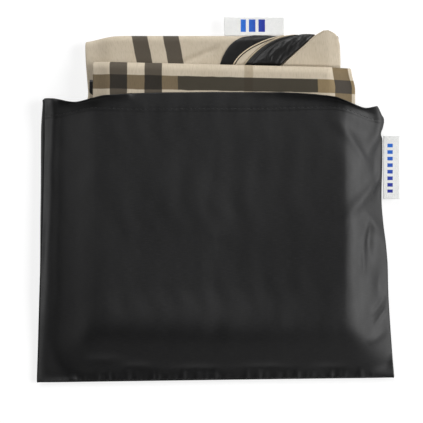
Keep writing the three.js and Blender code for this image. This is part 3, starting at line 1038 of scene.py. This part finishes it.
def rear_check_place(flat):
    x, y = flat[..., 0], flat[..., 1]
    across = REAR_SQUEEZE * (x + 56.8 + REAR_LEAN * (y - 133)) - 73
    along = REAR_SQUEEZE * (y - REAR_LEAN * (x + 56.8)) + 40
    return points_of(across, along)


def make_fold(name, node, is_front, slots, rests_on):
    ply = FRONT_PLY if is_front else REAR_PLY
    low, high = box_mm(node)
    across = closer_at_ends(low[0], high[0], 150, ply / 2)
    outer, inner, flat = turned_sheet(across, low[1], high[1], low[2], high[2], ply, 150)
    if not is_front:
        flat = rear_check_place(flat)
    outer, inner = settle_wrap(outer, is_front), settle_wrap(inner, is_front)
    piece = shell(name, outer, inner, flat, slots, flip=True)
    finish_piece(piece, "wrap", "plaid_cloth", node)


LINING_PEEK = 4.6  # the lining stands out this far at the left, near the mouth: partly the real black lining in the fold's open end, and partly a dark sheet standing in for the shadow in the gap above and below it


def make_lining():
    low, high = LINING_LOW, LINING_HIGH
    across = closer_at_ends(0, 1, 60, 0.01)
    along = np.linspace(low[1], high[1], 120)
    u, y = np.meshgrid(across, along)
    # painted shadow in part: the black lining is stretched over the shaded ends of the gap
    left = low[0] - LINING_PEEK * smooth((y - 97) / 4) * smooth((119 - y) / 4)
    x = left + (high[0] - left) * u
    half = (high[2] - low[2]) / 2 * np.sqrt(np.clip(1 - (2 * u - 1) ** 16, 0.01, 1))
    middle = (high[2] + low[2]) / 2
    faces = [settle_wrap(points_of(x, y, middle + side * half), True) for side in (1, -1)]
    piece = shell("lining_cloth", faces[0], faces[1], points_of(x, y), ["lining"])
    finish_piece(piece, "wrap", "lining_satin", "lining_fold")


def make_folds():
    folds = (
        ("rear_fold_cloth", "back_panel_fold", False, ["check", "lining"], "pouch_back_cloth"),
        ("side_panel_cloth", "side_panel_fold", False, ["lining", "check"], "rear_fold_cloth"),
        ("front_fold_cloth", "front_panel_fold", True, ["check", "lining"], "rear_fold_cloth"),
        ("hood_cloth", "hood_fold", True, ["lining", "check"], "front_fold_cloth"),
    )
    for fold in folds:
        make_fold(*fold)
    make_lining()


# ------------------------------
# The turned edges beside the neck label, on the rear fold: bands between two curves that sweep to the right

NARROW_LEFT = ((2.4, 119.5), (4.4, 126.0), (7.4, 132.0), (11.4, 137.0), (18.4, 141.6), (27.0, 143.9))
NARROW_RIGHT = ((10.4, 119.5), (13.6, 125.6), (19.0, 131.2), (27.0, 136.3), (37.0, 140.6), (47.5, 143.9))
WIDE_LEFT = ((18.6, 119.5), (23.8, 126.0), (31.0, 132.9), (39.4, 138.3), (48.4, 141.8), (56.0, 143.9))
DIAGONAL = ((43.6, 119.5), (48.8, 125.0), (54.0, 129.5), (59.2, 133.9), (64.4, 138.6), (69.5, 143.9))
FLAP_LEFT = ((44.6, 119.5), (50.0, 125.2), (55.6, 130.3), (61.4, 135.4), (67.2, 141.0), (74.4, 145.6))
FLAP_RIGHT = ((87.2, 119.5), (87.2, 126.0), (86.9, 132.4), (86.3, 138.0), (83.9, 143.2), (78.6, 146.1))
FLAP_CUT = (-75, 40)  # where the flap's cloth lies in the check
STRIP_CUT = (-45, 40)  # and the turned strip's
PIPING_WIDTH = 0.9
ON_REAR_Z = REAR_HIGH[2] + 0.2


def smooth_curve(points, count):
    points = np.array(points, float)
    return resample(points, np.linspace(0, len(points) - 1, count))


def beside(points, distance):
    """A curve's points, moved to its right by a distance."""
    points = np.array(points, float)
    along = unit(np.gradient(points, axis=0))
    return points + distance * np.stack([along[:, 1], -along[:, 0]], axis=1)


def over_the_top(y, z):
    """Carries cloth on the rear fold down round the fold's upper edge."""
    middle = (REAR_LOW[2] + REAR_HIGH[2]) / 2
    turn = REAR_HIGH[1] - (REAR_HIGH[2] - middle)
    radius = z - middle
    angle = np.maximum(y - turn, 0) / radius
    return np.minimum(y, turn) + radius * np.sin(angle), middle + radius * np.cos(angle)


def band(name, left, right, ply, slots, relief=None, rolled=0.0, turned=True, base=0.0, flat_shift=(0, 0),
         rows=56, columns=36):
    """A closed strip of cloth between two curves, base above the rear fold.

    relief(x, y, u) raises its upper face, with u from 0 at the left curve to 1 at the right one.
    """
    one, other = smooth_curve(left, rows), smooth_curve(right, rows)
    u = closer_at_ends(0, 1, columns, 0.06)
    plan = one[:, None] + (other - one)[:, None] * u[None, :, None]
    x, y = plan[..., 0], plan[..., 1]
    width = np.linalg.norm(other - one, axis=1)[:, None]
    rim = np.minimum(u, 1 - u)[None, :] * width
    rounded = rounded_edge(rim, 0.6, 0.02)
    free = smooth((y - front_top(x)) / 2.2)
    thick = (0.2 + (ply - 0.2) * free) * rounded
    lift = 0.0 if relief is None else relief(x, y, u[None, :] + 0 * x) * free * rounded
    thick = thick + lift + rolled * bump_at(rim, 0.8, 0.6) * (u < 0.5) * free
    flat = points_of(x, y) + flat_shift
    low = ON_REAR_Z + 0.04 + base * free
    high = low + thick
    if turned:
        y_low, low = over_the_top(y, low)
        y_high, high = over_the_top(y, high)
    else:
        y_low = y_high = y
    lower = settle_wrap(points_of(x, y_low, low), False)
    upper = settle_wrap(points_of(x, y_high, high), False)
    return shell(name, upper, lower, flat, slots)


def satin_wrinkles(x, y, u):
    """Creases that follow the sweep, inside a flat border along the left edge."""
    inside = smooth((u - 0.16) / 0.1)
    folds = 0.22 * ripple(x, y, 3.9, 52, 1.0) + 0.22 * ripple(x, y, 6.5, 40, 0.8)
    folds += 0.08 * ripple(x, y, 2.6, 65)
    pillow = 1.5 * np.sin(math.pi * np.clip((u - 0.16) / 0.84, 0, 1)) ** 0.6
    edge = 0.5 * bump_at(u, 0.07, 0.05)
    return edge + inside * (pillow + 0.6 * folds + 0.4)


def narrow_wrinkles(x, y, u):
    return 0.1 * ripple(x, y, 6.5, 55, 1.2) + 0.35 * np.sin(math.pi * u) * (u < 1)


def flap_waves(x, y, u):
    return 0.3 * ripple(x, y, 18, 62) + 0.25 * smooth((u - 0.8) / 0.2)


def make_turned_edges():
    narrow_right = beside(NARROW_RIGHT, 1.7)  # it runs on under the piping, so that its black shows as dark lines on both sides of the piping: a dark sheet that stands in for the shadow beside the piping
    outer_edges = beside(NARROW_RIGHT, 0.3), beside(NARROW_RIGHT, 0.3 + PIPING_WIDTH)
    strip_edges = beside(NARROW_RIGHT, 1.8), beside(WIDE_LEFT, -PIPING_WIDTH - 0.3)
    inner_edges = beside(WIDE_LEFT, -PIPING_WIDTH - 0.15), beside(WIDE_LEFT, -0.15)

    piece = band("narrow_satin_band", NARROW_LEFT, narrow_right, 0.45, ["lining"], narrow_wrinkles)
    finish_piece(piece, "wrap", "lining_satin", "lining_band_narrow")

    outer = band("piping_outer_tape", *outer_edges, 0.8, ["piping"], base=0.85, columns=8)
    finish_piece(outer, "wrap", "piping_cloth", "edge_piping_outer")
    inner = band("piping_inner_tape", *inner_edges, 1.2, ["piping"], columns=8)
    finish_piece(inner, "wrap", "piping_cloth", "edge_piping_inner")

    piece = band("turned_strip_cloth", *strip_edges, 0.9, ["check"], flat_shift=STRIP_CUT, columns=20)
    finish_piece(piece, "wrap", "plaid_cloth", "turned_edge_strip")

    piece = band("wide_satin_band", WIDE_LEFT, DIAGONAL, 0.9, ["lining"], satin_wrinkles,
                 rows=90, columns=80)
    finish_piece(piece, "wrap", "lining_satin", "lining_band_wide")

    piece = band("corner_flap_cloth", FLAP_LEFT, FLAP_RIGHT, 1.1, ["check"], flap_waves, rolled=0.7,
                 turned=False, flat_shift=FLAP_CUT, rows=70, columns=50)
    finish_piece(piece, "wrap", "plaid_cloth", "corner_flap")


# ------------------------------
# The two labels, each a ribbon folded back on itself

RIBBON_PLY = 0.55


def ribbon_curl(across, along, low, high, curl):
    """How far a soft label stands off its flat shape."""
    u = (across - low) / (high - low)
    out = np.clip(along, 0, None)
    return curl * out * (0.6 * np.sin(math.pi * u) + 0.4 * (u - 0.5))


def folded_ribbon(low, high, curl, sideways):
    """A ribbon folded back at its far end: its outer and inner faces, and flat places."""
    a, b = (1, 0) if sideways else (0, 1)
    across = closer_at_ends(low[a], high[a], 60, 0.4)
    outer, inner, flat = turned_sheet(across, low[b], high[b], low[2], high[2], RIBBON_PLY, 24)
    for face in (outer, inner):
        face[..., 2] += ribbon_curl(face[..., 0], face[..., 1] - low[b], low[a], high[a], curl)
    if sideways:
        return outer[..., [1, 0, 2]], inner[..., [1, 0, 2]], flat[..., ::-1]
    return outer, inner, flat


def make_labels():
    labels = (
        ("neck_label", LABEL_LOW, LABEL_HIGH, -0.05, False, 0.0264, "neck_ribbon", "rear_fold_cloth"),
        ("side_tag", TAG_LOW, TAG_HIGH, -0.03, True, 0.0238, "tag_ribbon", "side_tag_tail_ribbon"),
    )
    for node, low, high, curl, sideways, length, material, rest in labels:
        faces = folded_ribbon(low, high, curl, sideways)
        piece = shell(node + "_ribbon", *faces, [material], flip=not sideways)
        finish_piece(piece, node, "label_ribbon", node)


# ------------------------------

make_camera()
make_materials()
make_floor()
make_light()
make_pouch()
make_folds()
make_turned_edges()
make_labels()
